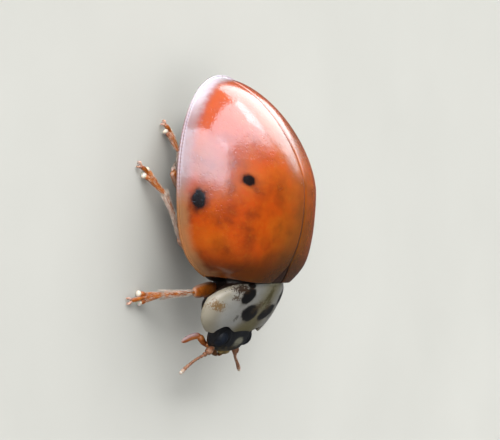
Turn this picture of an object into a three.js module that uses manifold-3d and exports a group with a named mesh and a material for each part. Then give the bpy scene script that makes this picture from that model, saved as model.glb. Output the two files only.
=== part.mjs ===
// A harlequin ladybird, life size, standing with its six feet on level ground.
// Millimetres, +Z up, head toward -Y, the animal's right side toward -X.
// Lengths along the body are measured back from the front edge of the wing cases.
import * as THREE from 'three';
import { mergeVertices } from 'three/addons/utils/BufferGeometryUtils.js';
import Module from 'manifold-3d';

const wasm = await Module();
wasm.setup();

// ---- Driving dimensions ----

const RIM_HEIGHT = 0.95; // lowest line of the wing cases' rim above the ground
const GAP = 0.04; // clearance kept between neighbouring pieces
const LIMB = 0.25; // radius of legs and feelers
const STEM = 0.23; // radius of the inner length of a feeler

// The pair of wing cases: one high dome, split along the back.
const CASES = {
  front: -0.4, // where the dome's curve would close ahead of the cut front edge
  back: 5.33,
  peak: 2.35,
  halfWidth: 2.52,
  height: 2.35,
  widthFrontPower: 2.3,
  heightFrontPower: 2.4,
  widthBackPower: 2.1,
  heightBackPower: 1.55,
  roundness: 2.1,
  shoulderFullness: 1.1, // added to the roundness at the front edge
  shoulderReach: 1.1, // how far back that fullness fades away
  shell: 0.5,
  rimDepth: 0.08,
  flare: 0.09,
  flareSharpness: 12,
  shoulderRise: 0.35,
  shoulderLength: 1.6,
};

// The small triangular plate between the wing cases' roots.
const SCUTELLUM = { width: 0.62, length: 0.46, depth: 0.3 };

// The body under the wing cases, parted where the third pair of legs is set.
const BELLY = { depth: 0.3, peak: 1.5, power: 2.4, waist: 2.1 };

// The shield over the first ring of the thorax.
const SHIELD = {
  front: -1.45,
  back: 0.157,
  widest: -0.7,
  halfWidth: 1.85,
  widthPower: 2.5,
  crest: 0.3,
  crestHeight: 1.62,
  crestPower: 1.3,
  edgeHeight: 0.28,
  cornerRise: 0.3,
  cornerPower: 3,
  thickness: 0.15,
  roundness: 2.1,
};

const STERNUM = { front: -1.12, back: -0.05, halfWidth: 1.15, top: 0.1, bottom: -0.3 };

const HEAD = {
  front: -1.75,
  back: -0.7,
  widest: -1.26,
  halfWidth: 0.9,
  backHeight: 0.44,
  frontHeight: 0.12,
  above: 0.4,
  below: 0.36,
  power: 2.4,
};
const EYE = { centre: [0.74, -1.33, 0.29], radii: [0.24, 0.28, 0.3] };
const LABRUM = { centre: [0, -1.75, 0.04], radii: [0.4, 0.15, 0.13] };
const MANDIBLE = { centre: [0.2, -1.63, -0.15], radii: [0.2, 0.24, 0.14] };

// Feelers, joint by joint: x outward, y back, z above the ground.
const ANTENNA = { root: [0.74, -1.56, 1.06], bend: [1.2, -1.84, 0.93], tip: [1.6, -2.12, 0.76] };
const PALP = { root: [0.4, -1.4, 0.78], bend: [0.66, -1.52, 0.6], tip: [0.86, -1.56, 0.46] };

// Legs, joint by joint in the same way, from the socket in the body to the claws.
const LEGS = {
  fore: {
    socket: [0.32, -0.52, 0.74],
    hip: [0.56, -0.26, 0.7],
    knee: [1.6, -0.19, 0.86],
    ankle: [2.42, -0.3, 0.37],
    claw: [3.58, -0.42, 0.1],
  },
  mid: {
    socket: [0.5, 0.6, 0.66],
    hip: [0.84, 0.74, 0.56],
    knee: [1.8, 1.16, 0.6],
    ankle: [2.27, 2.25, 0.4],
    claw: [3.1, 3.0, 0.1],
  },
  hind: {
    socket: [0.62, 1.86, 0.66],
    hip: [1.0, 1.98, 0.54],
    knee: [2.02, 2.76, 0.52],
    ankle: [1.52, 3.32, 0.36],
    claw: [1.76, 4.12, 0.1],
  },
};
const COXA_RADIUS = 0.27;
const FEMUR_SWELL = 0.04;
const CLAW_RADIUS = 0.1;
const TARSUS_FULLNESS = 0.6; // share of the foot's length that keeps its full thickness

// ---- Finishes ----

function finish(colour, roughness) {
  return new THREE.MeshStandardMaterial({ color: colour, roughness, metalness: 0 });
}

const FINISHES = {
  cases: finish(0xcd551e, 0.3),
  shield: finish(0xd8d2bd, 0.4),
  black: finish(0x15161a, 0.35),
  cream: finish(0xcfc7a8, 0.45),
  belly: finish(0x6a3a1c, 0.5),
  limbs: finish(0xb8692e, 0.45),
};

// ---- Solids from three.js geometries ----

const POLE = 1e-6;

// A closed geometry as a solid, its seams welded and its slivers on the axis dropped.
function solid(geometry) {
  const bare = geometry.clone();
  bare.deleteAttribute('normal');
  bare.deleteAttribute('uv');
  const welded = mergeVertices(bare, 1e-5);
  const corners = welded.index.array;
  const kept = [];
  for (let i = 0; i < corners.length; i += 3) {
    const [a, b, c] = [corners[i], corners[i + 1], corners[i + 2]];
    if (a !== b && b !== c && c !== a) kept.push(a, b, c);
  }
  return new wasm.Manifold(new wasm.Mesh({
    numProp: 3,
    vertProperties: new Float32Array(welded.attributes.position.array),
    triVerts: new Uint32Array(kept),
  }));
}

function signedPower(value, power) {
  return Math.sign(value) * Math.abs(value) ** power;
}

// A superelliptic rise and fall along the body: 1 at its peak, 0 at either end.
function swell(y, { front, peak, back, frontPower, backPower }) {
  const ahead = y < peak;
  const reach = ahead ? (peak - y) / (peak - front) : (y - peak) / (back - peak);
  const power = ahead ? frontPower : backPower;
  return Math.max(0, 1 - Math.min(1, reach) ** power) ** (1 / power);
}

// A sphere with its poles fore and aft, drawn out to the half-width, top, edge and
// bottom that a shape gives at each station along the body.
function ovoid(shape, around, along) {
  const geometry = new THREE.SphereGeometry(1, around, along);
  const position = geometry.attributes.position;
  for (let i = 0; i < position.count; i += 1) {
    const y = shape.front + (1 + position.getY(i)) * 0.5 * (shape.back - shape.front);
    const curve = 2 / shape.roundness(y);
    const ring = Math.hypot(position.getX(i), position.getZ(i));
    const across = ring > POLE ? position.getX(i) / ring : 0;
    const up = ring > POLE ? position.getZ(i) / ring : 0;
    const edge = shape.edge(y);
    const depth = up > 0 ? shape.top(y) - edge : edge - shape.bottom(y);
    const flare = (shape.flare ?? 0) * signedPower(across, CASES.flareSharpness);
    const side = shape.halfWidth(y) * (signedPower(across, curve) + Math.sign(across) * Math.abs(flare));
    position.setXYZ(i, side, y, edge + depth * signedPower(up, curve));
  }
  return solid(geometry);
}

function ellipsoid([x, y, z], [rx, ry, rz], around, along) {
  const geometry = new THREE.SphereGeometry(1, around, along);
  geometry.scale(rx, ry, rz);
  geometry.translate(x, y, z);
  return solid(geometry);
}

function box([x0, y0, z0], [x1, y1, z1]) {
  const geometry = new THREE.BoxGeometry(x1 - x0, y1 - y0, z1 - z0);
  geometry.translate((x0 + x1) / 2, (y0 + y1) / 2, (z0 + z1) / 2);
  return solid(geometry);
}

const CAP_STEPS = 2;
const LIMB_SIDES = 8;
const UP_THE_LATHE = new THREE.Vector3(0, 1, 0);
const FAR = 10;

// A round-ended limb from one joint to the next, with the given radius part of the way along.
function limb(from, to, startRadius, endRadius, midRadius, midway = 0.5) {
  const start = new THREE.Vector3(...from);
  const axis = new THREE.Vector3(...to).sub(start);
  const length = axis.length();
  const profile = [];
  for (let i = 0; i <= CAP_STEPS; i += 1) {
    const turn = (i / CAP_STEPS) * Math.PI / 2;
    profile.push(new THREE.Vector2(startRadius * Math.sin(turn), -startRadius * Math.cos(turn)));
  }
  profile.push(new THREE.Vector2(midRadius, length * midway));
  for (let i = CAP_STEPS; i >= 0; i -= 1) {
    const turn = (i / CAP_STEPS) * Math.PI / 2;
    profile.push(new THREE.Vector2(endRadius * Math.sin(turn), length + endRadius * Math.cos(turn)));
  }
  const geometry = new THREE.LatheGeometry(profile, LIMB_SIDES);
  const turn = new THREE.Quaternion().setFromUnitVectors(UP_THE_LATHE, axis.normalize());
  geometry.applyQuaternion(turn);
  geometry.translate(start.x, start.y, start.z);
  return solid(geometry);
}

// ---- Naming and placing ----

const beetle = new THREE.Group();

function add(name, body, material) {
  const { vertProperties, triVerts } = body.getMesh();
  const geometry = new THREE.BufferGeometry();
  geometry.setAttribute('position', new THREE.BufferAttribute(vertProperties, 3));
  geometry.setIndex(new THREE.BufferAttribute(triVerts, 1));
  geometry.computeVertexNormals();
  const mesh = new THREE.Mesh(geometry, material);
  mesh.name = name;
  beetle.add(mesh);
}

const SIDES = { left: 1, right: -1 };

function mirrored([x, y, z], side) {
  return [x * side, y, z];
}

function onRim([x, y, z]) {
  return [x, y, z + RIM_HEIGHT];
}

// ---- Wing cases, scutellum and the body beneath them ----

function rimHeight(y) {
  const reach = Math.max(0, 1 - Math.max(0, y) / CASES.shoulderLength);
  return RIM_HEIGHT + CASES.shoulderRise * reach ** 2;
}

// The dome at a depth inside the wing cases' outer surface.
function domeShape(inset, bottom) {
  const span = { front: CASES.front + inset, peak: CASES.peak, back: CASES.back - inset };
  const width = { ...span, frontPower: CASES.widthFrontPower, backPower: CASES.widthBackPower };
  const rise = { ...span, frontPower: CASES.heightFrontPower, backPower: CASES.heightBackPower };
  return {
    front: span.front,
    back: span.back,
    roundness: (y) => {
      const fading = Math.max(0, 1 - Math.max(0, y) / CASES.shoulderReach);
      return CASES.roundness + CASES.shoulderFullness * fading;
    },
    flare: inset > 0 ? 0 : CASES.flare / CASES.halfWidth,
    halfWidth: (y) => (CASES.halfWidth - inset) * swell(y, width),
    edge: rimHeight,
    top: (y) => {
      const rim = rimHeight(y);
      return rim + (RIM_HEIGHT + CASES.height - inset - rim) * swell(y, rise);
    },
    bottom,
  };
}

const DOME_FACETS = [36, 20];
const CORE_FACETS = [20, 12];

const dome = ovoid(domeShape(0, (y) => rimHeight(y) - CASES.rimDepth), ...DOME_FACETS);
const hollow = ovoid(domeShape(CASES.shell, (y) => rimHeight(y) - FAR), ...CORE_FACETS);
const behindShield = box([-FAR, 0, -FAR], [FAR, FAR, FAR]);
const shellPair = dome.subtract(hollow).intersect(behindShield);

function wedge(growth) {
  const outline = new THREE.Shape();
  const half = SCUTELLUM.width / 2 + growth;
  outline.moveTo(-half, -growth);
  outline.lineTo(half, -growth);
  outline.lineTo(0, SCUTELLUM.length + growth);
  outline.closePath();
  return solid(new THREE.ExtrudeGeometry(outline, { depth: FAR, bevelEnabled: false }));
}

for (const [name, side] of Object.entries(SIDES)) {
  const near = GAP / 2;
  const half = side > 0 ? box([near, -FAR, -FAR], [FAR, FAR, FAR]) : box([-FAR, -FAR, -FAR], [-near, FAR, FAR]);
  add(`elytron_${name}`, shellPair.intersect(half).subtract(wedge(GAP)), FINISHES.cases);
}

const plate = dome.intersect(wedge(0)).intersect(behindShield)
  .subtract(ovoid(domeShape(SCUTELLUM.depth, (y) => rimHeight(y) - FAR), ...CORE_FACETS));
add('scutellum', plate, FINISHES.black);

const bellySpan = {
  front: CASES.front,
  peak: BELLY.peak,
  back: CASES.back - CASES.shell,
  frontPower: BELLY.power,
  backPower: BELLY.power,
};
const core = ovoid(
  domeShape(CASES.shell + GAP, (y) => rimHeight(y) - BELLY.depth * swell(y, bellySpan)),
  ...CORE_FACETS,
);

// ---- Leg pieces, kept aside so that the body can be cut for their sockets ----

function legPieces(joints, side, growth) {
  const at = (joint) => mirrored(joints[joint], side);
  const radius = LIMB + growth;
  const claw = CLAW_RADIUS + growth;
  return {
    coxa: limb(at('socket'), at('hip'), COXA_RADIUS + growth, radius, radius),
    femur: limb(at('hip'), at('knee'), radius, radius, radius + FEMUR_SWELL),
    tibia: limb(at('knee'), at('ankle'), radius, radius, radius),
    tarsus: limb(at('ankle'), at('claw'), radius, claw, radius, TARSUS_FULLNESS),
  };
}

let sockets = null;
for (const side of Object.values(SIDES)) {
  for (const joints of Object.values(LEGS)) {
    const { coxa, femur } = legPieces(joints, side, GAP);
    sockets = sockets ? sockets.add(coxa).add(femur) : coxa.add(femur);
  }
}

const thoraxBounds = box([-FAR, GAP, -FAR], [FAR, BELLY.waist - GAP / 2, FAR]);
const abdomenBounds = box([-FAR, BELLY.waist + GAP / 2, -FAR], [FAR, FAR, FAR]);
const seat = ovoid(domeShape(SCUTELLUM.depth, (y) => rimHeight(y) - FAR), ...CORE_FACETS);
const plateRoom = wedge(GAP).subtract(seat);
add('thorax', core.intersect(thoraxBounds).subtract(sockets).subtract(plateRoom), FINISHES.belly);
add('abdomen', core.intersect(abdomenBounds).subtract(sockets), FINISHES.belly);

// ---- Head, with everything that the shield is notched for ----

function headShape(growth) {
  const span = { front: HEAD.front - growth, peak: HEAD.widest, back: HEAD.back + growth };
  const fullness = { ...span, frontPower: HEAD.power, backPower: HEAD.power };
  const slope = (HEAD.backHeight - HEAD.frontHeight) / (HEAD.back - HEAD.front);
  const middle = (y) => RIM_HEIGHT + HEAD.frontHeight + slope * (y - HEAD.front);
  return {
    front: span.front,
    back: span.back,
    roundness: () => HEAD.power,
    halfWidth: (y) => (HEAD.halfWidth + growth) * swell(y, fullness),
    edge: middle,
    top: (y) => middle(y) + (HEAD.above + growth) * swell(y, fullness),
    bottom: (y) => middle(y) - (HEAD.below + growth) * swell(y, fullness),
  };
}

const HEAD_FACETS = [18, 10];
const EYE_FACETS = [10, 7];

function pair(part, side, growth, facets) {
  const radii = part.radii.map((radius) => radius + growth);
  return ellipsoid(mirrored(onRim(part.centre), side), radii, ...facets);
}

const eyesRoom = pair(EYE, 1, GAP, EYE_FACETS).add(pair(EYE, -1, GAP, EYE_FACETS));
const headRoom = ovoid(headShape(GAP), ...HEAD_FACETS).add(eyesRoom);
const head = ovoid(headShape(0), ...HEAD_FACETS).subtract(eyesRoom);
const labrumRoom = pair(LABRUM, 1, GAP, EYE_FACETS);
add('head', head, FINISHES.black);
add('labrum', pair(LABRUM, 1, 0, EYE_FACETS).subtract(headRoom), FINISHES.cream);

for (const [name, side] of Object.entries(SIDES)) {
  add(`eye_${name}`, pair(EYE, side, 0, EYE_FACETS), FINISHES.black);
  const inner = GAP / 2;
  const half = side > 0 ? box([inner, -FAR, -FAR], [FAR, FAR, FAR]) : box([-FAR, -FAR, -FAR], [-inner, FAR, FAR]);
  const jaw = pair(MANDIBLE, side, 0, EYE_FACETS).intersect(half).subtract(headRoom);
  add(`mandible_${name}`, jaw.subtract(labrumRoom), FINISHES.belly);
}

// ---- Feelers ----

// A bent feeler: a slightly slimmer stem ends inside its thicker outer length.
function feeler(joints, side) {
  const at = (joint) => mirrored(joints[joint], side);
  const stem = limb(at('root'), at('bend'), STEM, STEM, STEM);
  return stem.add(limb(at('bend'), at('tip'), LIMB, LIMB, LIMB));
}

for (const [name, side] of Object.entries(SIDES)) {
  const jawRoom = pair(MANDIBLE, side, GAP, EYE_FACETS);
  add(`antenna_${name}`, feeler(ANTENNA, side).subtract(headRoom), FINISHES.limbs);
  const palp = feeler(PALP, side).subtract(headRoom).subtract(jawRoom);
  add(`palp_${name}`, palp.subtract(labrumRoom), FINISHES.limbs);
}

// ---- Shield and the breastplate under it ----

function shieldShape(growth) {
  const widthSpan = {
    front: SHIELD.front,
    peak: SHIELD.widest,
    back: SHIELD.back,
    frontPower: SHIELD.widthPower,
    backPower: SHIELD.widthPower,
  };
  const crestSpan = { ...widthSpan, peak: SHIELD.crest, frontPower: SHIELD.crestPower };
  const edge = (y) => {
    const toward = Math.min(1, Math.max(0, (y - SHIELD.front) / -SHIELD.front));
    return RIM_HEIGHT + SHIELD.edgeHeight + SHIELD.cornerRise * toward ** SHIELD.cornerPower;
  };
  return {
    front: SHIELD.front,
    back: SHIELD.back,
    roundness: () => SHIELD.roundness,
    halfWidth: (y) => SHIELD.halfWidth * swell(y, widthSpan),
    edge,
    top: (y) => edge(y) + (RIM_HEIGHT + SHIELD.crestHeight - edge(y)) * swell(y, crestSpan),
    bottom: (y) => edge(y) - (SHIELD.thickness + growth) * swell(y, widthSpan),
  };
}

const SHIELD_FACETS = [26, 14];
const STERNUM_FACETS = [12, 6];
const aheadOfCases = box([-FAR, -FAR, -FAR], [FAR, -GAP, FAR]);
const shield = ovoid(shieldShape(0), ...SHIELD_FACETS).intersect(aheadOfCases);
add('pronotum', shield.subtract(headRoom), FINISHES.shield);

const sternumSpan = {
  front: STERNUM.front,
  peak: (STERNUM.front + STERNUM.back) / 2,
  back: STERNUM.back,
  frontPower: HEAD.power,
  backPower: HEAD.power,
};
const sternum = ovoid({
  front: STERNUM.front,
  back: STERNUM.back,
  roundness: () => HEAD.power,
  halfWidth: (y) => STERNUM.halfWidth * swell(y, sternumSpan),
  edge: () => RIM_HEIGHT,
  top: (y) => RIM_HEIGHT + STERNUM.top * swell(y, sternumSpan),
  bottom: (y) => RIM_HEIGHT + STERNUM.bottom * swell(y, sternumSpan),
}, ...STERNUM_FACETS);
const shieldRoom = ovoid(shieldShape(GAP), ...SHIELD_FACETS);
add('prosternum', sternum.subtract(shieldRoom).subtract(headRoom).subtract(sockets), FINISHES.belly);

// ---- Legs, with flat soles at ground level ----

const ground = box([-FAR, -FAR, -FAR], [FAR, FAR, 0]);

for (const [pairName, joints] of Object.entries(LEGS)) {
  for (const [name, side] of Object.entries(SIDES)) {
    const piece = legPieces(joints, side, 0);
    const room = legPieces(joints, side, GAP);
    const label = (segment) => `${segment}_${pairName}_${name}`;
    add(label('coxa'), piece.coxa, FINISHES.limbs);
    add(label('femur'), piece.femur.subtract(room.coxa), FINISHES.limbs);
    add(label('tibia'), piece.tibia.subtract(room.femur), FINISHES.limbs);
    add(label('tarsus'), piece.tarsus.subtract(room.tibia).subtract(ground), FINISHES.limbs);
  }
}

// The model stands at the middle of its own length.
const extent = new THREE.Box3().setFromObject(beetle);
beetle.position.y = -(extent.min.y + extent.max.y) / 2;

export default beetle;
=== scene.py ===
"""A harlequin ladybird, life size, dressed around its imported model.

Lengths are millimetres in the animal's own frame unless a name says otherwise: x outward
from the middle line, y back from the front edge of the wing cases, z above the ground.
"""

import math

import bpy
import numpy as np
from mathutils import Matrix, Vector

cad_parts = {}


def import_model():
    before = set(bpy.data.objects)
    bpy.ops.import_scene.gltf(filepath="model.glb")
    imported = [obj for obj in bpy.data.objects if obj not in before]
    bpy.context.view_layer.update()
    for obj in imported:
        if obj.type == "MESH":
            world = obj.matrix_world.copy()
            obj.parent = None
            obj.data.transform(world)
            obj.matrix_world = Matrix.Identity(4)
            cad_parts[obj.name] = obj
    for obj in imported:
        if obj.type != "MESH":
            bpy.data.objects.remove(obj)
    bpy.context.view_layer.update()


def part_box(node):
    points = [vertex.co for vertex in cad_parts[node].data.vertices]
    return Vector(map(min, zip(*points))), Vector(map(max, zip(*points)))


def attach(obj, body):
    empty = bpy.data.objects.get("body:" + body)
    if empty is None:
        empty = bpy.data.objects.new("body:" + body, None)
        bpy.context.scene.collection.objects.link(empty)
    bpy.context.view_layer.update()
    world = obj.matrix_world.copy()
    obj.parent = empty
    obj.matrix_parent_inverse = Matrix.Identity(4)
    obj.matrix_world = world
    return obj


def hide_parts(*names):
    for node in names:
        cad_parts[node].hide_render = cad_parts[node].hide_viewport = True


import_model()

MM = 0.001
CASE_LOW, CASE_HIGH = (np.array(corner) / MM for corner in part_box("elytron_left"))
ORIGIN = np.array([0.0, CASE_LOW[1], 0.0])
RIM_DEPTH = 0.08
RIM = CASE_LOW[2] + RIM_DEPTH  # height of the wing cases' rim
CREST = CASE_HIGH[2]  # top of the back
TAIL = CASE_HIGH[1] - CASE_LOW[1]  # rear end of the wing cases
HALF_WIDTH = CASE_HIGH[0]  # of the pair of wing cases, at their rim
RIGHT_ANGLE = math.pi / 2
SIDES = {"left": 1, "right": -1}
UP = np.array([0.0, 0.0, 1.0])


# ---- Camera ----

ELEVATION = math.radians(25)
VIEW_WIDTH = 12.82
LENS, SENSOR = 400, 36
AIM_RIGHT, AIM_UP = 0.718, -3.718  # where the camera looks, from the rear end of the rim


def make_camera():
    """A long lens on the animal's right side, rolled so that its head points down."""
    back = Vector((-math.cos(ELEVATION), 0, math.sin(ELEVATION)))
    right = Vector((math.sin(ELEVATION), 0, math.cos(ELEVATION)))
    up = Vector((0, 1, 0))
    rear_end = Vector(ORIGIN + [0, TAIL, RIM])
    aim = rear_end + right * AIM_RIGHT + up * AIM_UP
    eye = (aim + back * (VIEW_WIDTH * LENS / SENSOR)) * MM
    data = bpy.data.cameras.new("camera")
    data.lens = LENS
    data.sensor_width = SENSOR
    data.clip_start = 0.001
    data.clip_end = 10
    camera = bpy.data.objects.new("camera", data)
    turned = Matrix((right, up, back)).transposed()
    camera.matrix_world = Matrix.Translation(eye) @ turned.to_4x4()
    bpy.context.scene.collection.objects.link(camera)
    bpy.context.scene.camera = camera


make_camera()


# ---- Meshes ----

COAT_SIDES = 24  # of the limbs that carry hairs
HAIR_WIDTH = 0.006  # from the middle of a hair's root to its corners


class Shape:
    """Points and faces in the animal's frame, with a mark of three numbers at each point."""

    def __init__(self, points, faces, marks=None):
        self.points = np.asarray(points, float)
        self.faces = [tuple(map(int, face)) for face in faces]
        self.marks = np.zeros_like(self.points) if marks is None else np.asarray(marks, float)

    def __add__(self, other):
        count = len(self.points)
        return Shape(
            np.vstack([self.points, other.points]),
            self.faces + [tuple(i + count for i in face) for face in other.faces],
            np.vstack([self.marks, other.marks]),
        )

    def on(self, side):
        """The left-hand shape, or its mirror image on the right."""
        faces = self.faces if side > 0 else [face[::-1] for face in self.faces]
        return Shape(self.points * [side, 1, 1], faces, self.marks)

    def piece(self, name, material):
        """A smooth-shaded object that carries its marks as the attribute "mark"."""
        mesh = bpy.data.meshes.new(name)
        mesh.from_pydata(((self.points + ORIGIN) * MM).tolist(), [], self.faces)
        mesh.polygons.foreach_set("use_smooth", [True] * len(mesh.polygons))
        layer = mesh.attributes.new("mark", "FLOAT_VECTOR", "POINT")
        layer.data.foreach_set("vector", self.marks.reshape(-1))
        mesh.materials.append(material)
        made = bpy.data.objects.new(name, mesh)
        bpy.context.scene.collection.objects.link(made)
        return made


def dress(shape, name, material, nodes=(), prepare=None):
    """Makes a piece of the body, prepares it, and puts it in place of these CAD nodes."""
    piece = shape.piece(name, material)
    if prepare:
        prepare(piece)
    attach(piece, "root")
    if nodes:
        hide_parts(*nodes)


def thicken(piece):
    """Welds a sheet's coinciding points and gives it its thickness, inward."""
    weld = piece.modifiers.new("weld", "WELD")
    weld.merge_threshold = 0.0005 * MM
    solid = piece.modifiers.new("thickness", "SOLIDIFY")
    solid.thickness = SHELL * MM
    solid.offset = -1


def grid_faces(rows, columns, closed=False):
    """Quads over a grid of points, joined round across its last column where closed."""
    index = np.arange(rows * columns).reshape(rows, columns)
    if closed:
        index = np.hstack([index, index[:, :1]])
    corners = (index[:-1, :-1], index[:-1, 1:], index[1:, 1:], index[1:, :-1])
    return np.stack(corners, axis=2).reshape(-1, 4).tolist()


def sheet(grid, marks=None):
    """An open surface from rows and columns of points."""
    rows, columns = grid.shape[:2]
    marks = None if marks is None else marks.reshape(-1, 3)
    return Shape(grid.reshape(-1, 3), grid_faces(rows, columns), marks)


def drum(rings, first, last, marks=None):
    """A closed surface from rings of points, with a point at either end."""
    rows, columns = rings.shape[:2]
    near, far = rows * columns, rows * columns + 1
    base = near - columns
    faces = grid_faces(rows, columns, closed=True)
    for i in range(columns):
        after = (i + 1) % columns
        faces += [(near, after, i), (far, base + i, base + after)]
    if marks is not None:
        ends = [marks[0].mean(axis=0), marks[-1].mean(axis=0)]
        marks = np.vstack([marks.reshape(-1, 3), ends])
    return Shape(np.vstack([rings.reshape(-1, 3), [first, last]]), faces, marks)


def grid_of(x, y, z):
    """Rows and columns of points, or of marks, from their three numbers."""
    return np.stack(np.broadcast_arrays(x, y, z), axis=2)


def stacked(*parts):
    return np.concatenate(parts)[:, None]


def circle(count):
    return np.linspace(0, 2 * math.pi, count, endpoint=False)


def hump(offset, reach):
    return np.exp(-((offset / reach) ** 2))


def unit(vectors):
    return vectors / np.maximum(np.linalg.norm(vectors, axis=-1, keepdims=True), 1e-12)


def curve(points, steps=12):
    """A smooth line through points, which are rows of any length."""
    points = np.asarray(points, float)
    padded = np.vstack([2 * points[0] - points[1], points, 2 * points[-1] - points[-2]])
    t = np.linspace(0, 1, steps, endpoint=False)[:, None]
    line = []
    for a, b, c, d in zip(padded, padded[1:], padded[2:], padded[3:]):
        square = (2 * a - 5 * b + 4 * c - d) * t**2
        cube = (3 * b - a - 3 * c + d) * t**3
        line.append(0.5 * (2 * b + (c - a) * t + square + cube))
    return np.vstack([*line, points[-1:]])


def rod(path, wide, deep, side, sides=18):
    """A closed rod with oval sections: half as thick as wide along side, as deep across it."""
    forward = unit(np.gradient(path, axis=0))
    lateral = np.broadcast_to(side, path.shape)
    lateral = unit(lateral - (lateral * forward).sum(1, keepdims=True) * forward)
    third = np.cross(forward, lateral)
    turn = circle(sides)
    wide = (wide[:, None] * np.cos(turn))[..., None] * lateral[:, None]
    deep = (deep[:, None] * np.sin(turn))[..., None] * third[:, None]
    marks = grid_of(np.linspace(0, 1, len(path))[:, None], np.cos(turn), np.sin(turn))
    return drum(path[:, None] + wide + deep, path[0], path[-1], marks)


def resample(path, at):
    """Points of a path at shares of its length."""
    reach = np.concatenate([[0], np.cumsum(np.linalg.norm(np.diff(path, axis=0), axis=1))])
    return np.stack([np.interp(at, reach / reach[-1], path[:, i]) for i in range(3)], axis=1)


def limb(joints, stations, side, flatness=1.0, sides=18, rings=40):
    """A rod along joints whose stations give (share of its length, half-thickness)."""
    stations = curve(stations, 8)
    at = 0.5 - 0.5 * np.cos(np.linspace(0, math.pi, rings))
    line = resample(curve(joints, 12), at)
    thick = np.maximum(0.002, np.interp(at, stations[:, 0], stations[:, 1]))
    return rod(line, thick, thick * flatness, side, sides)


def coat(limb_shape, count, length, span, rng):
    """Hairs on a limb of COAT_SIDES sides, leaning towards its tip.

    A hair's marks give its root's place, as shares of the limb's length and of its girth.
    """
    rings = limb_shape.points[:-2].reshape(-1, COAT_SIDES, 3)
    middle = rings.mean(axis=1)
    points, faces, marks = [], [], []
    for _ in range(count):
        along = rng.uniform(*span) * (len(rings) - 1)
        row, column = int(along), int(rng.integers(COAT_SIDES))
        root = rings[row, column] + (rings[row + 1, column] - rings[row, column]) * (along - row)
        ahead = unit(middle[row + 1] - middle[row])
        out = unit(root - middle[row] - ahead * np.dot(root - middle[row], ahead))
        aside = np.cross(ahead, out)
        tip = ahead + out * rng.uniform(0.12, 0.32) + aside * rng.uniform(-0.1, 0.1)
        tip = root + unit(tip) * length * rng.uniform(0.6, 1.2)
        base = len(points)
        for turn in circle(3):
            spread = aside * math.cos(turn) + out * math.sin(turn)
            points.append(root + (spread - out) * HAIR_WIDTH)
        points.append(tip)
        corners = ((0, 1, 3), (1, 2, 3), (2, 0, 3), (0, 2, 1))
        faces += [[base + corner for corner in face] for face in corners]
        marks += [(along / (len(rings) - 1), column / COAT_SIDES, 0)] * 4
    return Shape(points, faces, marks)


def rounded(angle, power):
    """Cosine and sine of an angle, squared off by a power below 1."""
    pair = (np.cos(angle), np.sin(angle))
    return (np.sign(value) * np.abs(value) ** power for value in pair)


def smooth_step(value, start, end):
    share = np.clip((value - start) / (end - start), 0, 1)
    return share * share * (3 - 2 * share)


# ---- Materials ----


def cuticle(varnish, roughness, glow=None):
    """Settings of a glossy shell; glow is light under it: (weight, reach by colour, metres)."""
    settings = {"IOR": 1.5, "Coat Weight": varnish, "Coat Roughness": roughness}
    if glow:
        names = ("Subsurface Weight", "Subsurface Radius", "Subsurface Scale")
        settings.update(zip(names, glow))
    return settings


def colour(code):
    """A linear RGBA colour from the usual six hexadecimal digits."""
    parts = [int(code[i : i + 2], 16) / 255 for i in (0, 2, 4)]
    linear = [p / 12.92 if p <= 0.04045 else ((p + 0.055) / 1.055) ** 2.4 for p in parts]
    return (*linear, 1)


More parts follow.
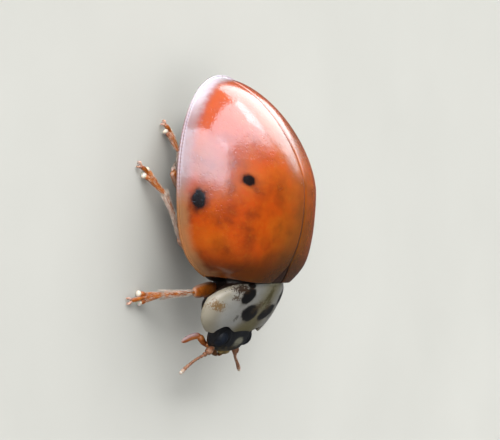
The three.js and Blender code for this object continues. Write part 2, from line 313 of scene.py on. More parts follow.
class Paint:
    """A material, and short calls for the nodes that paint it, with lengths in millimetres."""

    def __init__(self, name, settings):
        self.material = bpy.data.materials.new(name)
        self.material.use_nodes = True
        self.tree = self.material.node_tree
        self.shader = self.tree.nodes["Principled BSDF"]
        for socket, value in settings.items():
            self.shader.inputs[socket].default_value = value
        where = self.node("TexCoord", {})["Object"]
        sockets = {0: where, 1: (1 / MM,) * 3, 2: (-ORIGIN).tolist()}
        self.place = self.node("VectorMath", sockets, operation="MULTIPLY_ADD")[0]
        x, self.y, z = self.split(self.place)
        self.outward = self.math("ABSOLUTE", x)
        self.folded = self.node("CombineXYZ", {0: self.outward, 1: self.y, 2: z})[0]
        mark = self.node("Attribute", {}, attribute_name="mark")["Vector"]
        self.marks = self.split(mark)
        self.base = self.dull = self.normal = None

    def node(self, kind, inputs, **settings):
        """The outputs of a new node with these inputs: sockets to link, or values to set."""
        made = self.tree.nodes.new("ShaderNode" + kind)
        for name, value in settings.items():
            setattr(made, name, value)
        for socket, value in inputs.items():
            if isinstance(value, bpy.types.NodeSocket):
                self.tree.links.new(value, made.inputs[socket])
            else:
                made.inputs[socket].default_value = value
        return made.outputs

    def split(self, vector):
        return self.node("SeparateXYZ", {0: vector})

    def math(self, operation, a, b=0.0):
        return self.node("Math", {0: a, 1: b}, operation=operation)[0]

    def vector(self, operation, a, b):
        return self.node("VectorMath", {0: a, 1: b}, operation=operation)

    def times(self, *shares):
        """The product of sockets, numbers and fades, each fade as (value, start, end)."""
        shares = [self.fade(*share) if isinstance(share, tuple) else share for share in shares]
        product = shares[0]
        for share in shares[1:]:
            product = self.math("MULTIPLY", product, share)
        return product

    def sum(self, first, *others):
        for other in others:
            first = self.math("ADD", first, other)
        return first

    def noise(self, scale, detail=3.0, roughness=0.5):
        sockets = {"Scale": scale, "Detail": detail, "Roughness": roughness}
        return self.node("TexNoise", {"Vector": self.place, **sockets})[0]

    def cells(self, scale):
        """Distance from the middle of the nearest of scattered cells."""
        return self.node("TexVoronoi", {"Vector": self.place, "Scale": scale})[0]

    def fade(self, value, start, end):
        """0 before start, 1 beyond end, and smooth between."""
        sockets = {0: value, 1: start, 2: end, 3: 0.0, 4: 1.0}
        return self.node("MapRange", sockets, interpolation_type="SMOOTHSTEP")[0]

    def over(self, code, *shares):
        """Turns the base colour to a colour code by the product of the shares."""
        sockets = {0: self.times(*shares), 6: self.base, 7: colour(code)}
        self.base = self.node("Mix", sockets, data_type="RGBA")[2]

    def spread(self, value, *stops):
        """Starts the base colour: a ramp with stops of (place, colour code)."""
        self.base = self.node("ValToRGB", {0: value})[0]
        ramp = self.base.node.color_ramp
        while len(ramp.elements) < len(stops):
            ramp.elements.new(0.5)
        for element, (place, code) in zip(ramp.elements, stops):
            element.position = place
            element.color = colour(code)

    def spot(self, centre, halves, tilt, frayed):
        """Distance from an oval's middle, 1 at its outline; tilt turns it in the xy plane."""
        offset = self.vector("SUBTRACT", self.folded, centre)[0]
        sockets = {"Vector": offset, "Angle": -math.radians(tilt)}
        turned = self.node("VectorRotate", sockets, rotation_type="Z_AXIS")[0]
        scaled = self.vector("DIVIDE", turned, halves)[0]
        return self.sum(self.vector("LENGTH", scaled, (0, 0, 0))[1], frayed)

    def ragged(self, reach, *noise):
        """Noise between -reach and +reach, to fray the outline of a mark."""
        return self.times(self.math("SUBTRACT", self.noise(*noise), 0.5), 2 * reach)

    def bump(self, height, depth):
        self.normal = self.node("Bump", {"Height": height, "Distance": depth * MM})[0]

    def surface(self, dull, source, share, height, depth):
        """A roughness that grows from dull with a source, and bumps of this depth."""
        self.dull = self.sum(dull, self.times(source, share))
        self.bump(height, depth)

    def finish(self):
        looks = {"Base Color": self.base, "Roughness": self.dull, "Normal": self.normal}
        for socket, value in looks.items():
            if value is not None:
                self.tree.links.new(value, self.shader.inputs[socket])
        return self.material


# ---- Wing cases ----

CASE_FRONT, CASE_PEAK = -0.4, 2.35
WIDTH_POWERS = (2.42, 2.1)  # fullness of the outline ahead of its widest place and behind it
HEIGHT_POWERS = (2.4, 1.55)
CASE_ROUNDNESS = 2.12
SHOULDER_FULLNESS, SHOULDER_REACH = 1.1, 1.9
SHOULDER_RISE, SHOULDER_LENGTH = 0.28, 1.6
SHOULDER_HUMP = (1.35, 0.4, 0.42, 0.34, 0.03)  # outward and its reach, along and its, height
CORNER_ROUNDING, CORNER_REACH, CORNER_DEPTH = 0.2, 1.6, 0.9
FOLD_START = 0.25  # how far behind the front edge the fold under the rim begins
GUTTER = 0.07  # width of the flat edge outside the dome
SHELL = 0.05
SCUTELLUM_WIDTH, SCUTELLUM_LENGTH = 0.62, 0.46
SEAM, SEAM_DIP = 0.005, 0.03  # half the slit between the wing cases, and its edge's fall
CASE_ROWS, CASE_COLUMNS, DOME_END = 150, 74, math.radians(87)
# The section of the edge, in gutter widths outward and millimetres up: the dome's foot, the
# gutter, the bead, and the fold that turns in under it.
EDGE_SECTION = np.array([
    (0.02, 0.062), (0.08, 0.042), (0.2, 0.024), (0.36, 0.014), (0.52, 0.014),
    (0.66, 0.018), (0.78, 0.021), (0.9, 0.017), (0.97, 0.005), (1.0, -0.008),
    (0.96, -0.03), (0.86, -0.046), (0.6, -0.055), (0.0, -0.06),
    (-0.9, -0.05), (-1.8, -0.02), (-2.5, 0.04), (-2.8, 0.12),
])
BEAD = 6  # the row of EDGE_SECTION at the top of the bead
# The front edge rolls under in rows of growing depth, each a little further back.
CASE_ROLL = ((0.1, 0.045), (0.06, 0.012), (0.03, 0.002), (0.01, -0.001))


def swell(y, front, peak, back, powers):
    """A superelliptic rise and fall along the body: 1 at its peak, 0 at either end."""
    reach = np.where(y < peak, (peak - y) / (peak - front), (y - peak) / (back - peak))
    power = np.where(y < peak, *powers)
    return np.maximum(0, 1 - np.clip(reach, 0, 1) ** power) ** (1 / power)


def case_rim_height(y):
    return RIM + SHOULDER_RISE * np.maximum(0, 1 - np.maximum(0, y) / SHOULDER_LENGTH) ** 2


def case_outline(y):
    return HALF_WIDTH * swell(y, CASE_FRONT, CASE_PEAK, TAIL, WIDTH_POWERS)


def case_power(y):
    fullness = np.maximum(0, 1 - np.maximum(0, y) / SHOULDER_REACH) ** 2
    return 2 / (CASE_ROUNDNESS + SHOULDER_FULLNESS * fullness)


def case_dome(angle, y, half_width, inset=0.0):
    """Across and up, at an angle from the crest in the section at y."""
    rim = case_rim_height(y)
    power = case_power(y)
    height = (CREST - rim) * swell(y, CASE_FRONT, CASE_PEAK, TAIL, HEIGHT_POWERS)
    x = (half_width - inset) * np.sin(angle) ** power
    z = rim + np.maximum(0, height - inset) * np.maximum(0, np.cos(angle)) ** power
    return x, z


def case_grid():
    """Rows along the body, and columns from the seam over the dome and round the edge."""
    start = math.asin(CASE_PEAK / (CASE_PEAK - CASE_FRONT))
    turn = np.linspace(-start, RIGHT_ANGLE, CASE_ROWS)
    reach = np.where(turn < 0, CASE_PEAK - CASE_FRONT, TAIL - CASE_PEAK)
    y = CASE_PEAK + reach * np.sin(turn)
    rim_x = case_outline(y)
    lean = np.gradient(rim_x, y, edge_order=2)
    lean[-1] = -1e6
    lean *= smooth_step(y, 0, 0.5)  # the front edge runs straight across
    inset, tuck = (stacked(roll, 0 * y) for roll in np.array(CASE_ROLL).T)
    y, rim_x, lean = (stacked([v[0]] * len(CASE_ROLL), v) for v in (y, rim_x, lean))
    normal_x = 1 / np.hypot(1, lean)
    normal_y = -lean / np.hypot(1, lean)
    inner_x = np.maximum(rim_x - GUTTER * normal_x, SEAM)

    seam = np.maximum(SEAM, (SCUTELLUM_WIDTH / 2 + SEAM) * (1 - y / SCUTELLUM_LENGTH))
    seam = np.minimum(seam, inner_x)
    first = np.arcsin((seam / inner_x) ** (1 / case_power(y)))
    share = np.concatenate([[0, 0.004, 0.009], np.linspace(0, 1, CASE_COLUMNS)[1:]])
    angle = first + (DOME_END - first) * share
    rolling = 1 - smooth_step(share, 0.8, 1)
    inset, tuck = inset * rolling, tuck * rolling
    rear = smooth_step(y, 2.0, 3.2)
    follow = np.sin(angle) ** 3 * (1 - rear) + rear
    dome_y = y - GUTTER * normal_y * follow
    x, z = case_dome(angle, y, inner_x, inset)
    x = np.maximum(x, seam)
    # The seam's edge dips, and the shoulder carries a low hump.
    z = z - SEAM_DIP * np.exp(-((np.maximum(x - seam, 0) / SEAM_DIP) ** 1.3))
    out, wide, back, long, high = SHOULDER_HUMP
    z = z + high * hump(x - out, wide) * hump(dome_y - back, long)
    dome = grid_of(x, dome_y + tuck, z)

    # The bead fades out towards the front edge, and the fold under it starts further back.
    out, up = EDGE_SECTION[:, 0] * GUTTER, EDGE_SECTION[:, 1]
    fading = smooth_step(y, -0.02, 0.4)
    folded = np.clip((np.arange(len(out)) - BEAD - 3) / 4, 0, 1)
    out = np.where(out < 0, out * np.clip(inner_x / 0.6, 0.6, 1), out) - GUTTER
    up = np.where(up > 0, up * (0.3 + 0.7 * fading), up)
    edge_x = np.maximum(rim_x + out * normal_x, SEAM)
    edge_y = y + out * normal_y + FOLD_START * (1 - fading) * folded
    edge_z = case_rim_height(y) + up
    grid = np.concatenate([dome, grid_of(edge_x, edge_y, edge_z)], axis=1)

    # The front corner is rounded off in plan.
    corner = np.clip(grid[..., 0] / CORNER_REACH, 0, 1) ** 6
    corner *= np.clip(1 - grid[..., 1] / CORNER_DEPTH, 0, 1) ** 2
    grid[..., 1] += CORNER_ROUNDING * corner
    return grid


def case_marks(grid):
    """At each point: its way to the outer edge, its way to the seam, and its place along."""
    steps = np.linalg.norm(np.diff(grid, axis=1), axis=2)
    way = np.concatenate([np.zeros((len(grid), 1)), np.cumsum(steps, axis=1)], axis=1)
    body = grid[len(CASE_ROLL) :]
    rim, hem = body[:, BEAD - len(EDGE_SECTION)], body[0, body[0, :, 0] > 0.9]
    nearest = np.inf
    for point in (*rim[::2], *hem[::2]):
        nearest = np.minimum(nearest, np.linalg.norm(grid - point, axis=2))
    return grid_of(nearest, way, grid[..., 1])


# (place along, degrees from the crest, half across, half along, tilt in degrees, strength)
CASE_SPOTS = (
    (2.13, 78, 0.2, 0.27, 0, 1.0),
    (2.615, 46, 0.19, 0.14, 25, 1.0),
    (2.1, 25, 0.2, 0.17, 0, 0.16),
    (1.03, 66, 0.24, 0.2, 0, 0.18),
    (1.0, 30, 0.18, 0.2, 0, 0.15),
)


def wing_case_paint():
    settings = cuticle(0.15, 0.12, (0.1, (1.0, 0.3, 0.1), 0.0002))
    settings.update({"Specular IOR Level": 0.72, "Specular Tint": (0.58, 0.8, 1.0, 1.0)})
    paint = Paint("wing_case", settings)
    to_edge, to_seam, along = paint.marks
    patchy = paint.noise(1.9, 3, 0.5)
    cloud = paint.noise(0.75, 4, 0.6)
    paint.spread(cloud, (0.34, "802e02"), (0.5, "a54203"), (0.66, "b25409"))
    paint.over("6c2a03", (patchy, 0.47, 0.75), (along, 4.0, 2.6), 0.7)
    paint.over("b84402", (patchy, 0.5, 0.28), 0.6)
    paint.over("a85c12", (paint.noise(8, 4, 0.65), 0.5, 0.75), 0.35)
    # Olive brown towards the front and along the seam, darkest at the front edge: partly the
    # shell's own tone, partly painted shade.
    near_seam = (to_seam, 1.7, 0.1)
    paint.over("593a05", (along, 2.6, 0.2), near_seam, 0.7)
    paint.over("7d510a", near_seam, 0.35)
    paint.over("4a2803", (along, 1.1, 0.15), 0.8)
    # A painted sheen: paler and greyer over the hind part, with a clear orange patch before the
    # tip where the painted sheen leaves off.
    reach = paint.sum(to_edge, paint.ragged(0.1, 5, 3))
    rear = (along, 1.9, 2.9)
    paint.over("786c74", rear, (reach, 2.6, 0.5), 0.34)
    paint.over("c04c09", (to_edge, 0.2, 0.5), (to_edge, 2.2, 1.2), (along, 3.1, 4.3), 0.55)
    # Clearer, paler shell just above the edge.
    paint.over("a0764e", (reach, 0.36, 0.06), (along, 0.02, 0.2), (to_seam, 1.7, 2.3), 0.72)
    # Painted shade in the gutter, a painted sheen above it, and painted highlights on the bead
    # and the tip.
    paint.over("493421", (to_edge, 0.13, 0.08), (to_edge, 0.02, 0.05), 0.12)
    paint.over("94808e", rear, (reach, 0.45, 0.1), 0.6)
    paint.over("b09ca4", rear, (to_edge, 0.07, 0.03), 0.6)
    paint.over("cec6ce", (along, 4.0, 4.9), (reach, 0.4, 0.08), 0.85)
    slit = paint.times((to_seam, 0.05, 0.015), (along, 3.2, 0.8))
    paint.over("2a1608", slit, 0.8)

    fringe = paint.ragged(0.42, 5.5, 4, 0.6)
    for y, degrees, wide, long, tilt, strength in CASE_SPOTS:
        x, z = case_dome(math.radians(degrees), y, HALF_WIDTH - GUTTER)
        centre = (float(x), y, float(z))
        away = paint.spot(centre, (wide, long, wide), tilt, fringe)
        paint.over("542103", (away, 1.7, 0.9), strength * 0.5)
        paint.over("150703", (away, 1.2, 0.7), strength)

    pits = paint.times((paint.cells(12), 0.1, 0.34), 0.5)
    height = paint.sum(pits, paint.times(paint.noise(1.3, 4, 0.6), 5.0))
    worn = paint.times((along, 4.2, 3.2), (along, 1.2, 2.3), 0.12)
    paint.dull = paint.sum(0.07, paint.times(patchy, 0.13), worn, paint.times(slit, 0.3))
    paint.bump(height, 0.004)
    return paint.finish()


def make_wing_cases():
    material = wing_case_paint()
    grid = case_grid()
    shape = sheet(grid, case_marks(grid))
    for name, side in SIDES.items():
        nodes = [f"elytron_{name}"]
        dress(shape.on(side), f"wing_case_{name}", material, nodes, thicken)


# ---- Scutellum ----


def make_scutellum():
    """The small triangular plate between the roots of the wing cases."""
    paint = Paint("scutellum", {"Roughness": 0.4, "Coat Weight": 0.3, "Coat Roughness": 0.25})
    paint.spread(paint.noise(5, 3), (0.3, "241006"), (0.7, "40200c"))
    paint.bump(paint.cells(14), 0.003)
    along, across = np.linspace(0, 1, 18)[:, None], np.linspace(-1, 1, 21)
    y = 0.01 + along * (SCUTELLUM_LENGTH - 0.03)
    x = (SCUTELLUM_WIDTH / 2 - 0.015) * (1 - along**1.15) * across
    _, top = case_dome(0.0, y, 1.0)
    z = top - 0.02 - 0.03 * np.abs(across) ** 4 - 0.02 * along**6
    plate = sheet(grid_of(x, y, z))
    dress(plate, "scutellum_plate", paint.finish(), ["scutellum"], thicken)


# ---- Pronotum ----

SHIELD_FRONT, SHIELD_WIDEST, SHIELD_BACK = -1.45, -0.7, 0.157
SHIELD_HALF_WIDTH = 1.85
SHIELD_WIDTH_POWERS = (2.5, 2.5)
SHIELD_HIND_EDGE = -0.01
SHIELD_CREST, SHIELD_CREST_HEIGHT, SHIELD_CREST_POWERS = 0.3, 1.6, (1.3, 1.3)
SHIELD_EDGE_HEIGHT, SHIELD_CORNER_RISE, SHIELD_CORNER_POWER = 0.28, 0.4, 3
SHIELD_ROUNDNESS = 2.1
SHIELD_LIP = 0.04
SHIELD_CORNER = 0.32  # how far the hind corners are rounded forward
SHIELD_FRONT_HALF = 1.42
FOLD_RECESS = 0.12  # how far inside the open ends the fold under the sides stops
# How far forward the front edge reaches at each distance from the middle line.
SHIELD_NOTCH = ((0, 1.36), (0.5, 1.24), (0.9, 1.1), (1.15, 1.17), (1.35, 1.26), (1.45, 1.2))
# The section of the side edge and of the fold under it, in lip widths out and millimetres up.
SHIELD_SECTION = np.array([
    (1.0, 0.0), (0.97, -0.02), (0.8, -0.038), (0.4, -0.052), (-0.4, -0.062),
    (-2.0, -0.07), (-5.3, -0.085), (-9.0, -0.13), (-13.5, -0.18), (-17.0, -0.28),
])
SHIELD_ROWS, SHIELD_COLUMNS = 66, 117
# Both open edges roll under: (depth, shift along).
SHIELD_ROLL = ((0.1, 0.06), (0.05, 0.02), (0.02, 0.006), (0.006, 0.0))
SHIELD_HIND_ROLL = ((0.006, 0.0), (0.03, -0.004), (0.08, -0.015), (0.15, -0.04))


def shield_half_width(y):
    rise = swell(y, SHIELD_FRONT, SHIELD_WIDEST, SHIELD_BACK, SHIELD_WIDTH_POWERS)
    return SHIELD_HALF_WIDTH * rise


def shield_edge(y):
    share = np.clip((y - SHIELD_FRONT) / -SHIELD_FRONT, 0, 1)
    return RIM + SHIELD_EDGE_HEIGHT + SHIELD_CORNER_RISE * share**SHIELD_CORNER_POWER


def shield_top(y):
    back = 2 * SHIELD_CREST - SHIELD_FRONT
    rise = swell(y, SHIELD_FRONT, SHIELD_CREST, back, SHIELD_CREST_POWERS)
    edge = shield_edge(y)
    return edge + (RIM + SHIELD_CREST_HEIGHT - edge) * rise


def shield_shape():
    """Rows from the front edge to the hind edge, columns from fold to fold over the top."""
    angle = np.linspace(-RIGHT_ANGLE, RIGHT_ANGLE, SHIELD_COLUMNS + 4)[2:-2]
    crown, over = rounded(angle, 2 / SHIELD_ROUNDNESS)
    out, up = (SHIELD_SECTION[:, 0] - 1) * SHIELD_LIP, SHIELD_SECTION[:, 1]
    flat, level, beside = 0 * over, 0 * up, np.ones(len(up))

    def columns(right, dome, left):
        return np.concatenate([right[::-1], dome, left])

    across, rise = columns(-beside, over, beside), columns(level, crown, level)
    outward, upward = columns(-out, flat, out), columns(up, flat, up)
    rolling = smooth_step(rise, 0.04, 0.3)
    deep = np.clip((np.arange(len(up)) - 1) / 4, 0, 1)
    deep = columns(deep, flat, deep)

    notch = curve(SHIELD_NOTCH, 8)
    front = -np.interp(np.abs(across) * SHIELD_FRONT_HALF, notch[:, 0], notch[:, 1])
    ahead, behind = np.array(SHIELD_ROLL).T, np.array(SHIELD_HIND_ROLL).T
    share = np.linspace(0, 1, SHIELD_ROWS)
    inset, tuck = (stacked(a, 0 * share, b) * rolling for a, b in zip(ahead, behind))
    share = stacked(0 * ahead[0], share, 0 * behind[0] + 1)
    hind = SHIELD_HIND_EDGE - SHIELD_CORNER * np.clip(1 - rise / 0.5, 0, 1) ** 2
    y = front + (hind - front) * share
    tuck = tuck + FOLD_RECESS * deep * (1 - 2 * share)
    half = shield_half_width(y) - inset * 0.7
    edge = shield_edge(y)
    dome = np.maximum(0, shield_top(y) - edge - inset)
    x = half * across + outward
    z = edge + dome * rise + upward
    # A shallow hollow inside the side edges.
    z = z - 0.015 * hump(np.abs(x) - half + 0.3, 0.16) * (rise > 0)
    marks = grid_of(share, inset / inset.max(), half - np.abs(x))
    return sheet(grid_of(x, y + tuck, z), marks)


ENDLESS = 1e6  # half-height of a mark that has the same outline at every height
# ((x, y), (half across, half along), degrees of tilt, colour, streaky, strength)
SHIELD_MARKS = (
    ((0.97, -0.33), (0.24, 0.21), -25, "0b0a0a", False, 1.0),
    ((0.93, -0.07), (0.11, 0.07), 0, "100e0e", False, 1.0),
    ((0.5, -0.76), (0.42, 0.2), 12, "0b0a0a", False, 1.0),
    ((0.3, -0.6), (0.16, 0.1), -25, "4a3a1c", True, 0.7),
    ((1.2, -0.15), (0.2, 0.1), 0, "2e1c0c", True, 1.0),
    ((1.33, -0.37), (0.1, 0.05), 10, "3e2a12", True, 0.8),
    ((0.06, -0.34), (0.07, 0.26), 12, "4c4418", True, 0.8),
    ((1.68, -0.58), (0.13, 0.09), 20, "6e5020", True, 0.75),
    ((0.96, -0.88), (0.06, 0.07), 0, "34302a", True, 0.6),
)


def shield_paint():
    paint = Paint("pronotum", cuticle(0.25, 0.3, (0.2, (1.0, 0.8, 0.55), 0.00018)))
    _, rolled, to_side = paint.marks
    cloud = paint.noise(2.0, 4, 0.55)
    paint.spread(cloud, (0.3, "83827b"), (0.5, "908f8a"), (0.72, "9a9a96"))
    fleck = paint.noise(16, 3, 0.6)
    paint.over("666253", (fleck, 0.55, 0.75), 0.25)
    # Warmer, clearer shell at the sides, and painted shade: an olive tinge near the middle and
    # the front.
    paint.over("857a62", (to_side, 0.5, 0.0), 0.6)
    paint.over("5f532e", (paint.y, -0.75, -1.2), (paint.outward, 1.1, 0.4), 0.7)
    paint.over("665e34", (paint.outward, 0.75, 0.1), 0.75)

    torn = paint.ragged(0.3, 7, 4, 0.6)
    streaks = paint.ragged(3.0, 22, 4, 0.7)
    for (x, y), halves, tilt, code, streaky, strength in SHIELD_MARKS:
        edge = streaks if streaky else torn
        away = paint.spot((x, y, 0), (*halves, ENDLESS), tilt, edge)
        paint.over("3f2a12", (away, 1.35, 0.8), strength * 0.4)
        paint.over(code, (away, 1.08, 0.84), strength)
    smudge = paint.spot((1.745, -0.51, 1.58), (0.14, 0.12, 0.15), 0, streaks)
    paint.over("6a4917", (smudge, 1.2, 0.4), 0.6)
    # The rolled-under edges near black: partly dark cuticle, partly painted shade in the gaps
    # beside them.
    paint.over("15110d", (rolled, 0.3, 0.6))

    pits = paint.times((paint.cells(15), 0.08, 0.3), 0.6)
    height = paint.sum(pits, paint.times(paint.noise(3, 2), 3.0))
    paint.surface(0.34, fleck, 0.16, height, 0.003)
    return paint.finish()


def make_pronotum():
    shield = shield_shape()
    dress(shield, "pronotum_shield", shield_paint(), ["pronotum"], thicken)


# ---- Head ----

HEAD_FRONT, HEAD_WIDEST, HEAD_BACK = -1.75, -1.26, -0.7
HEAD_HALF_WIDTH = 0.96
HEAD_ABOVE, HEAD_BELOW = 0.4, 0.36
HEAD_POWERS = (2.4, 2.4)
HEAD_ROUNDNESS = 2.2
FACE_TOP, FACE_FRONT = -1.2, -1.5  # where the face begins, and is fully there
LIP_LINE = -1.6  # groove above the upper lip, between the roots of the feelers
FEELER_ROOT = 0.62
EYE_CENTRE = np.array([0.7, -1.33, RIM + 0.22])
EYE_RADII = np.array([0.22, 0.28, 0.28])
EYE_FACETS = 700


def head_middle(y):
    return RIM + 0.05 + (0.32 / (HEAD_BACK - HEAD_FRONT)) * (y - HEAD_FRONT)


def head_shape():
    """The capsule: a flattened ovoid, grooved above the mouth and raised round each eye."""
    turn = np.linspace(0, math.pi, 90)[1:-1, None]
    y = HEAD_FRONT + (HEAD_BACK - HEAD_FRONT) * 0.5 * (1 - np.cos(turn))
    side, lift = rounded(circle(120), 2 / HEAD_ROUNDNESS)
    size = swell(y, HEAD_FRONT, HEAD_WIDEST, HEAD_BACK, HEAD_POWERS)
    x = HEAD_HALF_WIDTH * size * side
    z = head_middle(y) + np.where(lift > 0, HEAD_ABOVE, HEAD_BELOW) * size * lift
    above = lift > 0
    away = np.linalg.norm((grid_of(np.abs(x), y, z) - EYE_CENTRE) / EYE_RADII, axis=2)
    ridge = hump(away - 1.12, 0.16) * above
    face = above * smooth_step(y, FACE_TOP, FACE_FRONT)
    groove = hump(y - LIP_LINE, 0.035) * face
    hollow = hump(x, 0.34) * hump(y + 1.46, 0.16) * face
    socket = hump(np.abs(x) - FEELER_ROOT, 0.1) * hump(y - LIP_LINE, 0.08) * above
    z = z + 0.03 * ridge - 0.025 * groove - 0.03 * hollow - 0.04 * socket
    ends = [(0, end, head_middle(end)) for end in (HEAD_FRONT, HEAD_BACK)]
    return drum(grid_of(x, y, z), *ends)


def head_paint():
    paint = Paint("head", cuticle(0.15, 0.35))
    cloud = paint.noise(5, 4)
    paint.spread(cloud, (0.35, "0c0e11"), (0.65, "1c1e22"))
    ragged = paint.ragged(0.25, 9, 3)
    pale = paint.spot((0, -1.5, RIM + 0.35), (0.26, 0.14, 0.5), 0, ragged)
    paint.over("7c7a68", (pale, 1.15, 0.6), 0.8)
    paint.over("54482c", (paint.sum(paint.y, ragged), -1.62, -1.72), 0.6)
    paint.surface(0.42, cloud, 0.15, paint.fade(paint.cells(16), 0.1, 0.4), 0.006)
    return paint.finish()


def eye_shape():
    """An oval eye whose surface bulges at each of its facets."""
    turn = np.linspace(0, math.pi, 72)[1:-1, None]
    around, ring = circle(128), np.sin(turn)
    rings = grid_of(-np.cos(turn), ring * np.sin(around), ring * np.cos(around))
    count = np.arange(EYE_FACETS) + 0.5
    tilt = np.arccos(1 - 2 * count / EYE_FACETS)
    spin = math.pi * (1 + 5**0.5) * count
    facets = np.stack([np.cos(tilt), np.sin(tilt) * np.cos(spin), np.sin(tilt) * np.sin(spin)])
    near = (rings @ facets).max(axis=2)
    gap = np.arccos(np.clip(near, -1, 1)) / math.sqrt(4 / EYE_FACETS)
    rings = rings * (1 - 0.02 * np.clip(gap, 0, 1)[..., None] ** 2)
    ends = [EYE_CENTRE + EYE_RADII * (x, 0, 0) for x in (-1, 1)]
    return drum(rings * EYE_RADII + EYE_CENTRE, *ends)


def eye_paint():
    paint = Paint("eye", cuticle(0.12, 0.4))
    cloud = paint.noise(4, 3)
    # Black with a blue tint, and the blue is a painted sheen.
    paint.spread(cloud, (0.35, "070a10"), (0.65, "141c28"))
    paint.surface(0.42, cloud, 0.1, paint.times(paint.cells(34), -1.0), 0.006)
    return paint.finish()


def amber_paint(name, dark, mid, light):
    """Amber shell for legs, feelers and mouth parts, ready for the marks on top."""
    paint = Paint(name, cuticle(0.2, 0.3, (0.2, (1.0, 0.45, 0.15), 0.00012)))
    cloud = paint.noise(6, 4, 0.6)
    paint.spread(cloud, (0.3, dark), (0.5, mid), (0.7, light))
    lined = paint.noise(24, 4, 0.7)
    paint.over(dark, (lined, 0.5, 0.75), 0.4)
    height = paint.sum(paint.fade(paint.cells(26), 0.1, 0.4), lined)
    paint.surface(0.36, cloud, 0.2, height, 0.004)
    return paint


def plain_amber(name, *codes):
    return amber_paint(name, *codes).finish()


ANTENNA_LINE = (
    (0.66, -1.6, 1.02), (0.8, -1.74, 0.95), (0.95, -1.84, 0.87),
    (1.2, -1.955, 0.765), (1.48, -2.1, 0.69), (1.76, -2.28, 0.61),
)
# Half-thickness of the eleven pieces of a feeler, from the root, and its share of the length.
ANTENNA_PIECES = (
    (0.1, 0.2), (0.065, 0.08), (0.042, 0.1), (0.04, 0.08), (0.04, 0.08), (0.042, 0.08),
    (0.044, 0.08), (0.048, 0.08), (0.052, 0.08), (0.056, 0.08), (0.05, 0.06),
)


def antenna_shape():
    """Eleven beads along a curve, each narrow where it joins the last."""
    path = curve(ANTENNA_LINE, 20)
    along = np.linspace(0, 1, 14)
    section = np.interp(along, (0, 0.06, 0.3, 0.7, 0.92, 1), (0.25, 0.5, 0.8, 1.0, 0.9, 0.3))
    beads, start = [], 0.0
    for thick, share in ANTENNA_PIECES:
        line = resample(path, np.clip(start + (along * 1.04 - 0.02) * share, 0, 1))
        bead = rod(line, thick * section, thick * section, UP, 16)
        bead.marks[:, 2] = start + share * bead.marks[:, 0]
        beads.append(bead)
        start += share
    return sum(beads[1:], beads[0])


def feeler_paint():
    """Amber beads with a pale band where each begins, and a pale club."""
    paint = amber_paint("feeler", "5e3a24", "865a40", "a88068")
    along, _, from_root = paint.marks
    paint.over("cdb49a", (along, 0.35, 0.0), 0.6)
    paint.over("d9cfc2", (from_root, 0.86, 1.0), 0.75)
    return paint.finish()


def palp_shape():
    """A stalk of two pieces that bends into a long axe blade, with a small inner palp."""
    root = ((0.4, -1.46, 0.88), (0.48, -1.56, 0.79), (0.56, -1.58, 0.73))
    stalk = ((0.54, -1.59, 0.74), (0.65, -1.49, 0.71), (0.78, -1.35, 0.685))
    blade = ((0.76, -1.34, 0.69), (0.93, -1.37, 0.54), (1.13, -1.5, 0.34))
    broad = ((0, 0.05), (0.15, 0.085), (0.5, 0.085), (0.85, 0.07), (1, 0.02))
    inner = ((0.14, -1.55, 0.8), (0.2, -1.66, 0.7), (0.26, -1.72, 0.62))
    return (
        limb(root, ((0, 0.05), (0.3, 0.07), (0.75, 0.085), (1, 0.05)), UP)
        + limb(stalk, ((0, 0.045), (0.3, 0.075), (0.8, 0.09), (1, 0.06)), UP)
        + limb(blade, broad, (0, 1, 0.3), 0.6)
        + limb(inner, ((0, 0.03), (0.4, 0.05), (0.8, 0.045), (1, 0.015)), UP)
    )


def palp_paint():
    paint = amber_paint("palp", "70340e", "94501c", "a86a34")
    _, across, _ = paint.marks
    # A painted pinkish highlight along the upper side of the blade.
    paint.over("94848a", (across, -0.2, 0.6), (paint.outward, 0.78, 0.92), 0.75)
    return paint.finish()


def make_head():
    dress(head_shape(), "head_capsule", head_paint(), ["head"])
    lip = ((0, -1.58, 1.03), (0, -1.72, 1.0), (0, -1.81, 0.95))
    width = ((0, 0.26), (0.4, 0.34), (0.75, 0.32), (0.93, 0.22), (1, 0.08))
    material = plain_amber("upper_lip", "4a3c1c", "766030", "948050")
    dress(limb(lip, width, (1, 0, 0), 0.28), "upper_lip", material, ["labrum"])
    jaw = ((0.34, -1.5, 0.84), (0.3, -1.7, 0.82), (0.12, -1.83, 0.82), (0.02, -1.84, 0.83))
    jaw = limb(jaw, ((0, 0.12), (0.35, 0.12), (0.75, 0.07), (1, 0.015)), UP, 0.8)
    parts = (
        ("compound_eye", eye_shape(), eye_paint(), "eye", "eye"),
        ("feeler", antenna_shape(), feeler_paint(), "feeler", "antenna"),
        ("mouth_palp", palp_shape(), palp_paint(), "feeler", "palp"),
        ("jaw", jaw, plain_amber("jaw", "301806", "5c340f", "845628"), "mandible", "mandible"),
    )
    for name, side in SIDES.items():
        for label, shape, material, slot, node in parts:
            dress(shape.on(side), f"{label}_{name}", material, [f"{node}_{name}"])


# ---- Underside ----

BELLY_DEPTH, BELLY_PEAK, BELLY_POWER = 0.3, 1.5, 2.4
WAIST = 2.1  # where the breast ends and the belly rings begin
BELLY_GROOVES = (2.75, 3.3, 3.8, 4.25, 4.65)
STERNUM_MIDDLE, STERNUM_HALF_LENGTH = -0.72, 0.4
STERNUM_HALF_WIDTH, STERNUM_DEPTH, STERNUM_TOP = 1.1, 0.28, 0.4
BODY_FRONT, BODY_REAR, BODY_INSET = 0.03, TAIL - 0.2, 3.2 * GUTTER
CHEST_GROOVE, GROOVE_DEPTH, GROOVE_REACH = 0.75, 0.035, 0.03
COLLAR, COLLAR_INSET = (-0.6, 0.14), 0.06
COLLAR_FOOT = RIM - 0.1
# The collar's sides, from the shield's edge to its foot: (share of the way down, half-width).
COLLAR_SIDES = ((0.1, 0.7), (0.3, 0.64), (0.7, 0.6), (0.95, 0.4), (1.0, 0.2))


